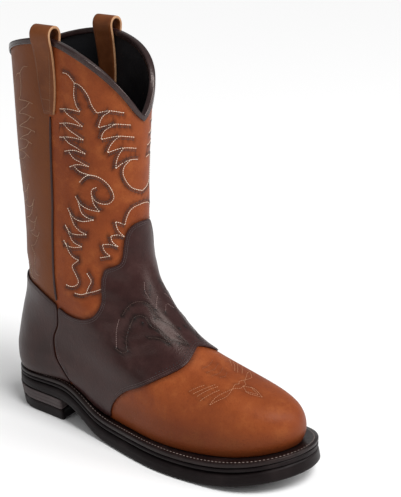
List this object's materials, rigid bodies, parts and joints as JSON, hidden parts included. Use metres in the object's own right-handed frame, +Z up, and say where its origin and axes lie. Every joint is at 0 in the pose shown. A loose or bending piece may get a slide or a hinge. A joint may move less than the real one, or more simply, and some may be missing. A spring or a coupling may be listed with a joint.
{
  "type": "roper boot",
  "caption": "Pull-on leather roper boot for the right foot, with a round toe, dark saddle and heel overlays, a dipped collar with pull straps, a welted sole and a low heel.",
  "frame": {"origin": "middle of the boot's length and width, on the floor it stands on", "axes": "+Z up the shaft, toe towards -Y, outer side of the right foot towards -X"},
  "size_m": [0.1102, 0.31, 0.3494],
  "materials": {
    "tan_leather": "waxed pull-up, satin",
    "brown_leather": "waxed, satin",
    "binding_leather": "polished",
    "strap_leather": "waxed, satin",
    "welt_leather": "dyed, satin",
    "sole_rubber": "matte",
    "stacked_leather": "worn, matte",
    "insole_board": "matte"
  },
  "bodies": {
    "root": {"upper": "tan_leather", "vamp": "brown_leather", "counter": "brown_leather", "collar_binding": "binding_leather", "pull_strap_outer": "strap_leather", "pull_strap_inner": "strap_leather", "side_piping_outer": "brown_leather", "side_piping_inner": "brown_leather", "welt": "welt_leather", "midsole": "sole_rubber", "outsole": "sole_rubber", "heel_stack": "stacked_leather", "heel_lift": "sole_rubber", "insole": "insole_board"}
  },
  "joints": []
}
